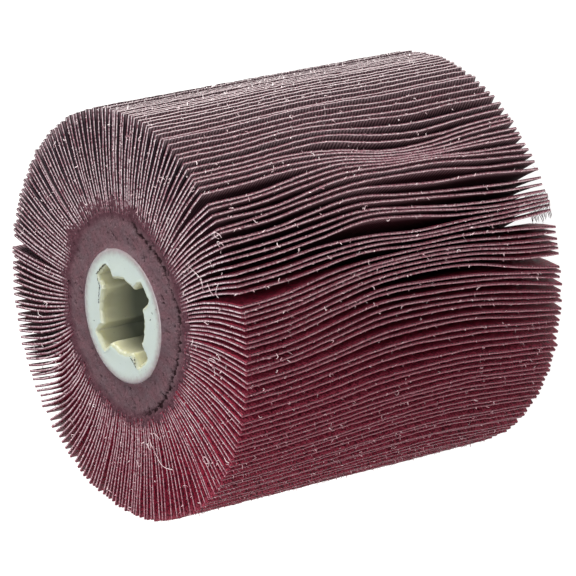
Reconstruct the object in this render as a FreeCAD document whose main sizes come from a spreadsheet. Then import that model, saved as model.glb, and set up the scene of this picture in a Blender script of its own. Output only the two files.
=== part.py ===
"""Flap wheel: a drum of abrasive cloth flaps cast in resin round a keyed nylon hub.

The drum stands on one end of its hub, with its axis along +Z and the origin at the
middle of that end. The flaps are bonded by their feet to the resin core, side by side,
and fan out to the wheel's diameter. Their free edges have been pushed about in storage,
so each flap bends to one side by an amount that changes along the wheel.
"""
import FreeCAD
import Part
import Sketcher
import math
import os

Vector = FreeCAD.Vector

# The driving dimensions, in millimetres unless the note says otherwise.
SIZES = [
    ("wheelDiameter", 105, "over the tips of the flaps"),
    ("hubLength", 100, "overall width of the wheel"),
    ("hubProud", 1, "how far each hub end stands out of the flaps"),
    ("boreDiameter", 19, "for the spindle of the burnishing machine"),
    ("hubWall", 8, "thickness of the nylon hub"),
    ("hubChamfer", 0.5, "on both rims and both bore mouths"),
    ("keywayWidth", 5.2, "each of the driving slots in the bore"),
    ("keywayDepth", 3.8, "from the bore wall to the slot's floor"),
    ("keywayCount", 4, "number of driving slots"),
    ("resinWall", 8.75, "thickness of the resin cast between the hub and the flaps"),
    ("flapThickness", 0.6, "abrasive cloth with its grain"),
    ("footSpace", 0.265, "resin between two neighbouring feet"),
    ("tipSpace", 0.06, "least space between two neighbouring tips"),
    ("packCount", 38, "number of packs that the ring of flaps is made up from"),
]

# Where the flaps' free edges have been pushed sideways. Each wave is named by its place
# on the drum and gives: angle round the drum in degrees, height above the lower flap
# ends, spread round the drum in degrees, spread along the axis, and the push of the tips
# in the direction of growing angle. Heights, spreads and pushes are in millimetres.
WAVES = {
    "lean of the front flaps": (68, 98, 14, 60, -6.4),
    "lean beside the front": (40, 98, 12, 50, -1.4),
    "lean under the crown": (245, 98, 10, 60, -2.9),
    "lean behind the crown": (292, 98, 22, 60, 4.2),
    "lean at the far side": (330, 98, 12, 50, 0.8),
    "lean past the far side": (2, 98, 14, 50, -1.8),
    "long crest, lower half": (102, 36, 28, 26, 6.6),
    "long crest, upper half": (144, 45, 12, 24, 4.8),
    "middle crest": (182, 60, 20, 18, 3.6),
    "rise at the shoulder": (217, 8, 12, 34, 4.0),
    "trough above the braid": (193, 38, 4.5, 11, -3.6),
    "braid": (180, 26, 4.5, 15, 3.6),
    "bunch at the lower end": (171, 9, 7, 22, -1.9),
    "upturn at the lower end": (163, 3, 4, 16, 1.8),
    "rear crest": (262, 40, 22, 24, 4.4),
    "rear trough": (300, 62, 20, 24, -2.6),
    "back crest": (336, 34, 20, 26, 4.8),
    "back shoulder": (12, 52, 16, 20, 3.0),
    "front trough": (44, 26, 14, 24, -3.0),
}

# Lens-shaped partings, where two neighbouring flaps stand away from each other: angle
# in degrees, height, half length and opening at the tips, in millimetres.
PARTINGS = [
    (193.4, 51, 18, 3.0),
    (186.4, 88, 28, 1.8),
    (184.8, 7, 15, 2.4),
    (177.2, 34, 20, 2.7),
    (199.5, 11, 16, 0.9),
    (165.7, 48, 18, 2.4),
    (157.8, 94, 24, 2.2),
    (157.8, 62, 10, 1.6),
    (160.2, 0, 14, 2.2),
    (147.7, 34, 14, 1.8),
    (149.5, 2, 12, 2.2),
    (232, 70, 18, 1.8),
    (254, 20, 18, 2.8),
    (281, 54, 16, 2.6),
    (309, 90, 18, 2.4),
    (327, 12, 16, 2.4),
    (351, 44, 14, 2.4),
    (20, 4, 16, 3.4),
    (37, 66, 16, 2.2),
    (73, 16, 14, 2.4),
    (88, 80, 18, 2.0),
]
# How far the flaps belly out at half their depth, beside the bend of a strip held at its
# foot. Each place gives the same as a wave does, with the belly instead of the push. A
# spread of 400 mm along the axis makes the belly nearly the same from end to end.
BELLY_OF_ALL = 0.7
BELLIES = {
    "stiff front flaps": (66, 98, 8, 400, -1.7),
    "flaps beside them": (46, 98, 8, 400, -0.9),
    "under the crown": (241, 98, 6, 400, -0.6),
    "behind the crown": (283, 98, 14, 400, 0.6),
    "far side": (355, 98, 14, 400, 1.2),
    "curl at the lower end": (149, 15, 17, 42, 1.0),
}
HUB_OUTSIDE = "Sizes.boreDiameter + 2 * Sizes.hubWall"
PARTING_REACH = 6.0          # degrees over which a parting crowds the flaps beside it
LEAN_OF_ALL = -1.6           # push of every tip, from the way the wheel has been turned
LOOSENESS = 0.35             # share by which the free space beside a flap varies

# Rows of stations at which a flap's sheet is worked out, from foot to tip: the share of
# the flap's depth at each row, and the number of stations along it.
ROW_SHARES = (0, 0.5, 1)
ROW_COUNTS = (2, 4, 8)
SEWING = 0.001               # tolerance for joining a flap's facets, in mm


def bell(offset, spread):
    """Rounded bump that is 1 at its middle."""
    return math.exp(-0.5 * (offset / spread) ** 2)


def ridge(offset, spread):
    """Bump with long straight flanks, as a bent sheet has on both sides of a crease."""
    return 1 / math.cosh(offset / spread)


def turn_between(angle, centre):
    """Signed angle in degrees from centre to angle, the short way round."""
    return (angle - centre + 180) % 360 - 180


def wanted_push(angle, height):
    """Sideways push of the tip, in mm, of the flap that is rooted at this angle."""
    push = LEAN_OF_ALL
    for centre, middle, spread_round, spread_along, amount in WAVES.values():
        offset = turn_between(angle, centre)
        push += amount * bell(offset, spread_round) * ridge(height - middle, spread_along)
    for centre, middle, half_length, opening in PARTINGS:
        offset = turn_between(angle, centre)
        side = 1 if offset > 0 else -1
        crowding = math.exp(-abs(offset) / PARTING_REACH)
        push += side * 0.5 * opening * crowding * bell(height - middle, half_length * 0.6)
    return push


def tip_angles(height, count, radius, closest):
    """Angle of every tip, in radians, at one height above the flaps' lower ends.

    The pushes give the free space that each pair of tips would have. Where a pair would
    come closer than the cloth allows, the space is held at a minimum, and the rest of
    the ring gives way so that it still closes.
    """
    pitch = 2 * math.pi * radius / count
    pushes = [wanted_push(360 * number / count, height) for number in range(count)]
    spaces = []
    for number in range(count):
        change = pushes[(number + 1) % count] - pushes[number]
        ripple = 1 + LOOSENESS * math.sin(2.4 * number + 1.7 * math.sin(0.9 * number))
        spaces.append(max(pitch + change - closest, 0.04 * pitch) * ripple)
    scale = (2 * math.pi * radius - count * closest) / sum(spaces)
    places = [0.0]
    for space in spaces[:-1]:
        places.append(places[-1] + closest + scale * space)
    drift = sum(places) - sum(pushes) - pitch * count * (count - 1) / 2
    return [(place - drift / count) / radius for place in places]


def bend(share):
    """Share of the tip's push at a share of the flap's depth: a strip held at its foot."""
    return (3 * share ** 2 - share ** 3) / 2


def belly(angle, height):
    """Extra sideways place at half depth, in mm, of the flap rooted at this angle."""
    total = BELLY_OF_ALL
    for centre, middle, spread_round, spread_along, amount in BELLIES.values():
        offset = turn_between(angle, centre)
        total += amount * bell(offset, spread_round) * ridge(height - middle, spread_along)
    return total


def two_sides(foot_angle, foot_radius, radius, turn, height, thickness):
    """The two face points of a flap's sheet at one station, cloth side first."""
    half = thickness / 2
    if radius == foot_radius:
        along = Vector(math.cos(foot_angle), math.sin(foot_angle), 0)
        across = Vector(-along.y, along.x, 0)
        base = along * radius + Vector(0, 0, height)
        return base - across * half, base + across * half
    points = []
    for side in (-1, 1):
        angle = foot_angle + turn + side * half / radius
        points.append(Vector(radius * math.cos(angle), radius * math.sin(angle), height))
    return tuple(points)


def stitch(first, second):
    """Triangles between two rows of points that run side by side, however many in each."""
    triangles = []
    low, high = 0, 0
    while low < len(first) - 1 or high < len(second) - 1:
        low_share = (low + 1) / (len(first) - 1)
        high_share = (high + 1) / (len(second) - 1)
        if low < len(first) - 1 and low_share <= high_share + 1e-9:
            triangles.append((first[low], first[low + 1], second[high]))
            low += 1
        else:
            triangles.append((first[low], second[high + 1], second[high]))
            high += 1
    return triangles


def flap_solid(rows):
    """Closed sheet from its rows of stations, each station a cloth and a grain point."""
    points = []
    sides = ([], [])
    for row in rows:
        for side, numbers in enumerate(sides):
            numbers.append(list(range(len(points), len(points) + len(row))))
            points += [pair[side] for pair in row]
    cloth, grain = sides
    walls = list(zip(cloth, cloth[1:])) + list(zip(grain[1:], grain))
    walls += [(grain[0], cloth[0]), (cloth[-1], grain[-1])]
    for end, (first, second) in ((0, (cloth, grain)), (-1, (grain, cloth))):
        walls.append(([row[end] for row in first], [row[end] for row in second]))
    triangles = []
    for first, second in walls:
        triangles += stitch(first, second)
    shell = Part.Shape()
    shell.makeShapeFromMesh((points, triangles), SEWING)
    solid = Part.Solid(shell)
    if solid.Volume < 0:
        solid.reverse()
    return solid


def add_sheet(document):
    """The spreadsheet of driving dimensions, one named cell a row."""
    sheet = document.addObject("Spreadsheet::Sheet", "Sizes")
    for row, (name, value, note) in enumerate(SIZES, start=1):
        sheet.set(f"A{row}", name)
        sheet.set(f"B{row}", str(value))
        sheet.set(f"C{row}", note)
        sheet.setAlias(f"B{row}", name)
    document.recompute()
    return sheet


def origin_plane(body, role):
    """One of a body's own origin features, by its role."""
    return next(item for item in body.Origin.OriginFeatures if item.Role == role)


def add_sketch(body, name):
    """An empty sketch on the body's horizontal origin plane."""
    sketch = body.newObject("Sketcher::SketchObject", name)
    sketch.AttachmentSupport = [(origin_plane(body, "XY_Plane"), "")]
    sketch.MapMode = "FlatFace"
    return sketch


def build_hub(document, sheet):
    """Nylon hub: a tube with chamfered rims and driving slots along its bore."""
    body = document.addObject("PartDesign::Body", "Hub")
    body.Label = "hub"
    ring = add_sketch(body, "HubRing")
    bore = sheet.get("boreDiameter")
    outside = bore + 2 * sheet.get("hubWall")
    for diameter, rule in ((bore, "Sizes.boreDiameter"), (outside, HUB_OUTSIDE)):
        circle = Part.Circle(Vector(0, 0, 0), Vector(0, 0, 1), diameter / 2)
        index = ring.addGeometry(circle, False)
        ring.addConstraint(Sketcher.Constraint("Coincident", index, 3, -1, 1))
        bound = ring.addConstraint(Sketcher.Constraint("Diameter", index, diameter))
        ring.setExpression(f"Constraints[{bound}]", rule)
    tube = body.newObject("PartDesign::Pad", "HubTube")
    tube.Profile = ring
    tube.setExpression("Length", "Sizes.hubLength")
    document.recompute()

    rims = [f"Edge{number}" for number, edge in enumerate(tube.Shape.Edges, start=1)
            if edge.Curve.TypeId == "Part::GeomCircle"]
    chamfer = body.newObject("PartDesign::Chamfer", "HubChamfer")
    chamfer.Base = (tube, rims)
    chamfer.setExpression("Size", "Sizes.hubChamfer")
    document.recompute()

    slot = add_sketch(body, "KeywaySection")
    half = sheet.get("keywayWidth") / 2
    floor = sheet.get("boreDiameter") / 2 + sheet.get("keywayDepth")
    corners = [Vector(0, -half, 0), Vector(floor, -half, 0), Vector(floor, half, 0), Vector(0, half, 0)]
    for start, end in zip(corners, corners[1:] + corners[:1]):
        slot.addGeometry(Part.LineSegment(start, end), False)
    for line in range(4):
        slot.addConstraint(Sketcher.Constraint("Coincident", line, 2, (line + 1) % 4, 1))
    for line in (0, 2):
        slot.addConstraint(Sketcher.Constraint("Horizontal", line))
    slot.addConstraint(Sketcher.Constraint("Vertical", 1))
    slot.addConstraint(Sketcher.Constraint("PointOnObject", 3, 1, -2))
    slot.addConstraint(Sketcher.Constraint("Symmetric", 3, 1, 3, 2, -1))
    width = slot.addConstraint(Sketcher.Constraint("DistanceY", 1, 1, 1, 2, 2 * half))
    reach = slot.addConstraint(Sketcher.Constraint("DistanceX", 0, 1, 0, 2, floor))
    slot.setExpression(f"Constraints[{width}]", "Sizes.keywayWidth")
    slot.setExpression(f"Constraints[{reach}]", "Sizes.boreDiameter / 2 + Sizes.keywayDepth")
    keyway = body.newObject("PartDesign::Pocket", "Keyway")
    keyway.Profile = slot
    keyway.Reversed = True
    keyway.setExpression("Length", "Sizes.hubLength")
    document.recompute()

    keyways = body.newObject("PartDesign::PolarPattern", "Keyways")
    keyways.Originals = [keyway]
    keyways.Axis = (origin_plane(body, "Z_Axis"), [""])
    keyways.Angle = 360
    keyways.setExpression("Occurrences", "Sizes.keywayCount")
    body.Tip = keyways
    document.recompute()
    if not keyways.Shape.Volume < keyway.Shape.Volume < chamfer.Shape.Volume:
        raise RuntimeError("a driving slot cuts nothing out of the hub")
    return body


def build_core(document):
    """Resin cast between the hub and the flaps' feet, as long as the flaps are wide."""
    cast = document.addObject("Part::Cylinder", "ResinCast")
    passage = document.addObject("Part::Cylinder", "HubPassage")
    cast.setExpression("Radius", f"({HUB_OUTSIDE}) / 2 + Sizes.resinWall")
    passage.setExpression("Radius", f"({HUB_OUTSIDE}) / 2")
    for cylinder in (cast, passage):
        cylinder.setExpression("Height", "Sizes.hubLength - 2 * Sizes.hubProud")
        cylinder.setExpression("Placement.Base.z", "Sizes.hubProud")
    core = document.addObject("Part::Cut", "ResinCore")
    core.Base = cast
    core.Tool = passage
    core.Label = "resin_core"
    return core


def build_flaps(document, sheet):
    """The ring of flaps, in packs of neighbouring flaps, each flap a solid of its own."""
    foot_radius = sheet.get("boreDiameter") / 2 + sheet.get("hubWall") + sheet.get("resinWall")
    tip_radius = sheet.get("wheelDiameter") / 2
    thickness = sheet.get("flapThickness")
    width = sheet.get("hubLength") - 2 * sheet.get("hubProud")
    bottom = sheet.get("hubProud")
    packs = int(sheet.get("packCount"))
    count = int(2 * math.pi * foot_radius / (thickness + sheet.get("footSpace")))
    closest = thickness + sheet.get("tipSpace")

    stations = {}
    for share, along in zip(ROW_SHARES[1:], ROW_COUNTS[1:]):
        for step in range(along):
            height = width * step / (along - 1)
            stations[share, step] = tip_angles(height, count, tip_radius, closest)

    flaps = []
    for number in range(count):
        foot_angle = 2 * math.pi * number / count
        rows = []
        for share, along in zip(ROW_SHARES, ROW_COUNTS):
            radius = foot_radius + share * (tip_radius - foot_radius)
            row = []
            for step in range(along):
                height = width * step / (along - 1)
                turn = 0.0
                if share > 0:
                    push = (stations[share, step][number] - foot_angle) * tip_radius
                    bulge = belly(360 * number / count, height) * math.sin(math.pi * share)
                    turn = (push * bend(share) + bulge) / radius
                row.append(two_sides(foot_angle, foot_radius, radius, turn, bottom + height,
                                     thickness))
            rows.append(row)
        flaps.append(flap_solid(rows))

    features = []
    for pack in range(packs):
        first = pack * count // packs
        last = (pack + 1) * count // packs
        feature = document.addObject("Part::Feature", f"FlapPack{pack + 1:02d}")
        feature.Label = f"flap_pack_{pack + 1:02d}"
        feature.Shape = Part.makeCompound(flaps[first:last])
        feature.Placement = FreeCAD.Placement()
        features.append(feature)
    return features


def export(document, parts):
    """Check every object of the document and write one STEP file a sub-part."""
    for item in document.Objects:
        if "Invalid" in item.State or "Error" in item.State:
            raise RuntimeError(f"{item.Label} failed: {item.State}")
    for part in parts:
        if part.Shape.isNull() or not part.Shape.isValid():
            raise RuntimeError(f"{part.Label} has no valid shape")
    os.makedirs("parts", exist_ok=True)
    for part in parts:
        part.Shape.exportStep(os.path.join("parts", f"{part.Label}.step"))


def main():
    document = FreeCAD.newDocument("FlapWheel")
    sheet = add_sheet(document)
    hub = build_hub(document, sheet)
    core = build_core(document)
    packs = build_flaps(document, sheet)
    document.recompute()
    export(document, [hub, core] + packs)


main()
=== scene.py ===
"""Flap wheel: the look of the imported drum.

The drum stands on one hub end round +Z. Its flaps are sheets of abrasive cloth, cast by
their feet in resin round a nylon hub. Every piece is worked out with numpy from the
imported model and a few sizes, and put into the scene by an operator of its own.
"""

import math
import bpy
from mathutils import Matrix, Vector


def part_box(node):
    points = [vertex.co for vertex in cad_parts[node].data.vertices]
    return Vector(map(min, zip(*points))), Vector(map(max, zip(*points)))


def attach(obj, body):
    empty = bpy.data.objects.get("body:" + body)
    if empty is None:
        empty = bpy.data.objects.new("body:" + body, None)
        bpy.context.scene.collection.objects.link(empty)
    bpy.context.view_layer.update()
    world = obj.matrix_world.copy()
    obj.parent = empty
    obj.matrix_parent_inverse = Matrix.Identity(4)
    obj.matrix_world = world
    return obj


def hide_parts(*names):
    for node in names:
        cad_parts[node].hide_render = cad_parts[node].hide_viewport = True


bl_info = {
    "name": "Flap wheel",
    "version": (1, 0, 0),
    "blender": (4, 5, 0),
    "location": "View3D > Sidebar > Flap wheel",
    "description": "Cloth flaps, cast resin, nylon hub, lint and a plain studio",
    "category": "Object",
}

import bpy
import numpy as np
from bpy.props import FloatProperty, FloatVectorProperty, IntProperty, PointerProperty
from mathutils import Vector

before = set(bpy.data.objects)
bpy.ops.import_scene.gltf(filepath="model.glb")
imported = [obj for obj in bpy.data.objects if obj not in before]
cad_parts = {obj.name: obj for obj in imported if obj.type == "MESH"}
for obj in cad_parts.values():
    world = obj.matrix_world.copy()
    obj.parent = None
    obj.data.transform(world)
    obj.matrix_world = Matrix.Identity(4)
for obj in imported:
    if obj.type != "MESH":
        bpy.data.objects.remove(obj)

MM = 0.001
FULL_TURN = 2 * math.pi
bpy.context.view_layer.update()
PACKS = sorted(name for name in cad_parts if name.startswith("flap_pack_"))
HUB_LOW, HUB_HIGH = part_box("hub")
CORE_LOW, CORE_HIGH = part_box("resin_core")
PACK_BOXES = [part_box(name) for name in PACKS]
FLAPS_LOW = min(low.z for low, high in PACK_BOXES)
FLAPS_HIGH = max(high.z for low, high in PACK_BOXES)
CORE_RADIUS = CORE_HIGH.x
HUB_RADIUS = HUB_HIGH.x
TIP_RADIUS = max(high.x for low, high in PACK_BOXES)
FLAPS_MIDDLE = (FLAPS_LOW + FLAPS_HIGH) / 2
FLAPS_HALF = (FLAPS_HIGH - FLAPS_LOW) / 2
ROWS = (4, 12)      # a flap's corners up to its middle row, and up to its tip row
ROUND_CORE = 26     # the core's radius in whole millimetres, and a flap's depth too


def linear(code):
    """Linear colour of an sRGB hex code.

    A channel c becomes c / 12.92 up to 0.04045, and ((c + 0.055) / 1.055) ^ 2.4 above.
    """
    channels = [int(code[place:place + 2], 16) / 255 for place in (1, 3, 5)]
    return tuple(c / 12.92 if c <= 0.04045 else ((c + 0.055) / 1.055) ** 2.4
                 for c in channels) + (1.0,)


def add_node(tree, kind, inputs=None, **settings):
    """Adds a node. A setting is one of its properties, and an input is one of its
    sockets, which takes a value, a colour's hex code or a link from another socket."""
    node = tree.nodes.new(kind)
    for name, value in settings.items():
        setattr(node, name, value)
    for name, value in (inputs or {}).items():
        if isinstance(value, bpy.types.NodeSocket):
            tree.links.new(value, node.inputs[name])
        else:
            node.inputs[name].default_value = linear(value) if isinstance(value, str) else value
    return node


def new_tree(name):
    """A named material with an empty node tree. It is the same material each time."""
    material = bpy.data.materials.get(name) or bpy.data.materials.new(name)
    material.use_nodes = True
    material.node_tree.nodes.clear()
    return material, material.node_tree


# Shapes as whole arrays


def smooth_through(values, shares):
    """Catmull-Rom curve through evenly spaced values, read at shares from 0 to 1.

    Between two values b and c, with a before and d after, at t from 0 to 1 it is
    b + t (c - a) / 2 + t^2 (2a - 5b + 4c - d) / 2 + t^3 (3b - a - 3c + d) / 2.
    """
    count = values.shape[1]
    first = 2 * values[:, :1] - values[:, 1:2]
    last = 2 * values[:, -1:] - values[:, -2:-1]
    padded = np.concatenate([first, values, last], axis=1)
    place = shares * (count - 1)
    index = np.clip(place.astype(int), 0, count - 2)
    t = place - index
    a, b, c, d = (padded[:, index + step] for step in range(4))
    return (b + t * (c - a) / 2 + t ** 2 * (2 * a - 5 * b + 4 * c - d) / 2
            + t ** 3 * (3 * b - a - 3 * c + d) / 2)


def ripples(seed, places, lengths, count=20):
    """Even, unrepeated ripple over points, of size about 1.

    It is the sum of count cosines of (wave vector . place + phase), with random
    directions and wavelengths between the two lengths, times the root of 2 / count.
    """
    chance = np.random.default_rng(seed)
    size = places.shape[-1]
    directions = chance.normal(size=(count, size))
    directions /= np.linalg.norm(directions, axis=1, keepdims=True)
    waves = directions * FULL_TURN / chance.uniform(*lengths, size=(count, 1))
    phases = chance.uniform(0, FULL_TURN, count)
    return np.cos(places @ waves.T + phases).sum(-1) * math.sqrt(2 / count)


def together(*values):
    """Coordinates that may differ in shape, as one array of points."""
    return np.stack(np.broadcast_arrays(*values), -1)


def between(first, second, part):
    """The point that lies a share part of the way from first to second."""
    return first * (1 - part) + second * part


def smooth_step(low, high, values):
    """0 below low, 1 above high, and t^2 (3 - 2t) in between."""
    t = np.clip((values - low) / (high - low), 0, 1)
    return t * t * (3 - 2 * t)


def from_polar(radius, angle, height):
    """Points (r cos a, r sin a, z)."""
    return together(radius * np.cos(angle), radius * np.sin(angle), height)


def walked_along(line):
    """Distance along a line of corners to each of them."""
    return np.concatenate([[0], np.cumsum(np.linalg.norm(np.diff(line, axis=0), axis=1))])


def read_along(line, walked, spots):
    """Points of a flat line of corners at some distances along it."""
    return np.stack([np.interp(spots, walked, line[:, axis]) for axis in (0, 1)], -1)


def grid_faces(rows, columns, closed_rows=False, closed_columns=False):
    """Quads of a grid of points numbered row by row, with its ends joined where closed."""
    numbers = np.arange(rows * columns).reshape(rows, columns)
    if closed_rows:
        numbers = np.concatenate([numbers, numbers[:1]])
    if closed_columns:
        numbers = np.concatenate([numbers, numbers[:, :1]], axis=1)
    return np.stack([numbers[:-1, :-1], numbers[:-1, 1:], numbers[1:, 1:], numbers[1:, :-1]],
                    -1).reshape(-1, 4)


def threads(paths, radii, sides, lift):
    """Closed tubes along many paths at once.

    A tube's ring at a point is centre + radius (cos a . n + sin a . b), where b is the
    cross product of the path's direction and lift, and n that of b and the direction.
    lift is any direction that the path doesn't run along. Returns the points and the list
    of face arrays: side quads and both end caps.
    """
    count, steps = paths.shape[:2]
    along = np.gradient(paths, axis=1)
    along /= np.linalg.norm(along, axis=-1, keepdims=True) + 1e-12
    across = np.cross(along, lift)
    across /= np.linalg.norm(across, axis=-1, keepdims=True) + 1e-9
    normal = np.cross(across, along)
    turn = FULL_TURN * np.arange(sides) / sides
    rings = (normal[:, :, None] * np.cos(turn)[:, None]
             + across[:, :, None] * np.sin(turn)[:, None])
    points = paths[:, :, None] + rings * radii[:, :, None, None]
    tube = grid_faces(steps, sides, closed_columns=True)[:, ::-1]
    start = np.arange(sides)[None]
    end = (steps - 1) * sides + np.arange(sides)[None, ::-1]
    shift = (np.arange(count) * steps * sides)[:, None, None]
    faces = [(tube + shift).reshape(-1, 4), (start + shift).reshape(-1, sides),
             (end + shift).reshape(-1, sides)]
    return points.reshape(-1, 3), faces


LEANING = np.array([0.1, 0.2, 1.0])     # a lift for threads that lie nearly flat
SHARP_FROM = math.radians(38)           # edges that turn by more than this stay sharp


def build_mesh(name, points, face_sets, materials, pattern=None, numbers=None):
    """Mesh from whole arrays.

    face_sets lists pairs: corner numbers [faces, corners], and one material number or one
    for each face. pattern gives each point its place on the cloth, in metres, and becomes
    the UV map. numbers holds further values per point, which become attributes.
    """
    mesh = bpy.data.meshes.new(name)
    corners = np.concatenate([faces.ravel() for faces, _ in face_sets]).astype(np.int32)
    sizes = np.concatenate([np.full(len(faces), faces.shape[1]) for faces, _ in face_sets])
    kinds = np.concatenate([np.broadcast_to(kind, len(faces)) for faces, kind in face_sets])
    starts = np.concatenate([[0], np.cumsum(sizes)[:-1]]).astype(np.int32)
    mesh.vertices.add(len(points))
    mesh.vertices.foreach_set("co", points.astype(np.float32).ravel())
    mesh.loops.add(len(corners))
    mesh.loops.foreach_set("vertex_index", corners)
    mesh.polygons.add(len(sizes))
    mesh.polygons.foreach_set("loop_start", starts)
    mesh.polygons.foreach_set("material_index", kinds.astype(np.int32))
    mesh.update(calc_edges=True)
    if pattern is not None:
        layer = mesh.uv_layers.new(name="Cloth")
        layer.data.foreach_set("uv", pattern[corners].astype(np.float32).ravel())
    for label, values in (numbers or {}).items():
        attribute = mesh.attributes.new(label, "FLOAT", "POINT")
        attribute.data.foreach_set("value", values.astype(np.float32).ravel())
    for material in materials:
        mesh.materials.append(material)
    mesh.shade_smooth()
    mesh.set_sharp_from_angle(angle=SHARP_FROM)
    return mesh


def add_piece(mesh, slot, *nodes):
    """Puts a finished mesh into the scene as a piece that stands for these CAD nodes."""
    piece = bpy.data.objects.new(mesh.name, mesh)
    bpy.context.scene.collection.objects.link(piece)
    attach(piece, "root")
    if nodes:
        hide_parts(*nodes)


# The ring of flaps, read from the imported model


def corner_groups(mesh):
    """Corners of a CAD pack with their doubles merged, and the flap that each is on.

    Every corner starts with its own number, and each triangle gives its three corners the
    lowest of their numbers, until nothing changes.
    """
    places = np.empty(len(mesh.vertices) * 3, np.float32)
    mesh.vertices.foreach_get("co", places)
    keys, merged = np.unique(np.rint(places.reshape(-1, 3) * 1e6).astype(np.int64), axis=0,
                             return_inverse=True)
    corners = np.empty(len(mesh.loops), np.int32)
    mesh.loops.foreach_get("vertex_index", corners)
    triangles = merged.ravel()[corners].reshape(-1, 3)
    groups = np.arange(len(keys))
    while True:
        lowest = groups.copy()
        np.minimum.at(lowest, triangles.ravel(), np.repeat(groups[triangles].min(1), 3))
        if (lowest == groups).all():
            return keys * 1e-6, groups
        groups = lowest


def read_flaps():
    """Stations of all flaps, sorted round the drum.

    A flap's corners are in three rows by their distance from the axis. Each station is
    the middle of a pair of corners at one height. Returns the pack number, the foot's
    angle, and the sideways place in metres of the middle and the tip stations, which is
    their turn from the foot's angle times their radius.
    """
    packs, feet, middles, tips = [], [], [], []
    for number, name in enumerate(PACKS):
        points, groups = corner_groups(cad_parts[name].data)
        for group in np.unique(groups):
            flap = points[groups == group]
            radius = np.hypot(flap[:, 0], flap[:, 1])
            order = np.argsort(radius)
            rows = np.split(flap[order], ROWS)
            places = []
            for row in rows:
                row = row[np.argsort(row[:, 2])]
                pairs = (row[0::2, :2] + row[1::2, :2]) @ (1, 1j)
                places.append((np.angle(pairs), np.hypot(row[0, 0], row[0, 1])))
            foot = np.angle(np.exp(1j * places[0][0]).mean())
            for found, (angles, reach) in zip((middles, tips), places[1:]):
                found.append(np.angle(np.exp(1j * (angles - foot))) * reach)
            packs.append(number)
            feet.append(foot % FULL_TURN)
    order = np.argsort(feet)
    return (np.array(packs)[order], np.array(feet)[order],
            np.array(middles)[order], np.array(tips)[order])


# Finishes

# A wave texture of scale 1 repeats every 2 pi / 20 along an axis. Diagonal waves stand
# twice as far apart.
WAVE = 0.31416
# Direction of the drum's red side, the one turned away from the key light. Red grinding dust
# toward it is also painted shade, and the pale lint opposite it, on the lit side, is also painted
# light.
SHADED_SIDE = math.radians(70)


def laid_over(tree, under, over, value, start, end, shares=(0.0, 1.0), **settings):
    """Colour over laid on colour under, by a share that depends on a value.

    The share goes from the first of shares to the second while the value goes from start
    to end, and stays as it is beyond them. A mix node's colours are its inputs 6 and 7.
    """
    share = add_node(tree, "ShaderNodeMapRange", {
        "Value": value, "From Min": start, "From Max": end, "To Min": shares[0],
        "To Max": shares[1]}, **settings).outputs["Result"]
    return add_node(tree, "ShaderNodeMix", {0: share, 6: under, 7: over},
                    data_type="RGBA").outputs[2]


def finished(material, inputs, relief=None, strength=1.0, height=0.0):
    """The material with its shader, and with a bump of some millimetres from a relief."""
    tree = material.node_tree
    if relief is not None:
        inputs["Normal"] = add_node(tree, "ShaderNodeBump", {
            "Height": relief, "Strength": strength, "Distance": height * MM}
        ).outputs["Normal"]
    shader = add_node(tree, "ShaderNodeBsdfPrincipled", inputs)
    add_node(tree, "ShaderNodeOutputMaterial", {"Surface": shader.outputs[0]})
    return material


def from_axis(tree, place):
    """Distance of a place from the drum's axis."""
    flat = add_node(tree, "ShaderNodeVectorMath", {0: place, 1: (1.0, 1.0, 0.0)},
                    operation="MULTIPLY").outputs[0]
    return add_node(tree, "ShaderNodeVectorMath", {0: flat},
                    operation="LENGTH").outputs["Value"]


def side_share(tree, place, start, full, share):
    """A share that grows over the drum toward its red side, which is its shaded side, and so lays
    painted shade; turned the other way it grows toward the lit side and lays painted light.

    It rises from 0 to share while the distance from the axis along that direction, as a
    part of the tips' radius, goes from start to full.
    """
    turned = add_node(tree, "ShaderNodeVectorMath", {
        0: place, 1: (math.cos(SHADED_SIDE), math.sin(SHADED_SIDE), 0.0)}, operation="DOT_PRODUCT"
    ).outputs["Value"]
    return add_node(tree, "ShaderNodeMapRange", {
        "Value": turned, "From Min": start * TIP_RADIUS, "From Max": full * TIP_RADIUS,
        "To Max": share}).outputs["Result"]


def near_tips(tree, place, share, below=1.0):
    """Multiplies a share by 1 at the tips, and by 0 from some millimetres below them."""
    outer = add_node(tree, "ShaderNodeMapRange", {
        "Value": from_axis(tree, place), "From Min": TIP_RADIUS - below * MM,
        "From Max": TIP_RADIUS - 0.4 * below * MM}).outputs["Result"]
    return add_node(tree, "ShaderNodeMath", {0: share, 1: outer},
                    operation="MULTIPLY").outputs[0]


def dust_and_side_light(tree, place, clean, pale, red, much=0.7):
    """A clean colour with dust on it, most of it at the tips, and painted light and shade by
    side.

    Pale lint lies on the side opposite the red one, the lit side, and is also painted light
    there. Red grinding dust lies on the red side, the shaded one, as a thin film and as what has
    settled at the tips, and is also painted shade there; much is its greatest share.
    """
    # Painted shade: the red film and settled dust grow toward the shaded side. Painted light:
    # pale lint grows at the lit side's tips.
    film = side_share(tree, place, -0.1, 0.9, 0.75 * much)
    lint = near_tips(tree, place, side_share(tree, place, -0.75, -1.0, 0.8))
    settled = near_tips(tree, place, side_share(tree, place, -0.75, 0.6, much))
    colour = clean
    for share, dust in ((film, red), (lint, pale), (settled, red)):
        colour = add_node(tree, "ShaderNodeMix", {0: share, 6: colour, 7: dust},
                          data_type="RGBA").outputs[2]
    return colour


def rib_ends(tree, cloth):
    """Wave of the cloth's ribs along a cut edge, drawn 0.9 mm apart so that they show."""
    return add_node(tree, "ShaderNodeTexWave", {
        "Vector": cloth, "Scale": 2 * WAVE / (0.9 * MM), "Distortion": 1.0,
        "Detail": 1.0}, bands_direction="DIAGONAL").outputs["Fac"]


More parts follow.
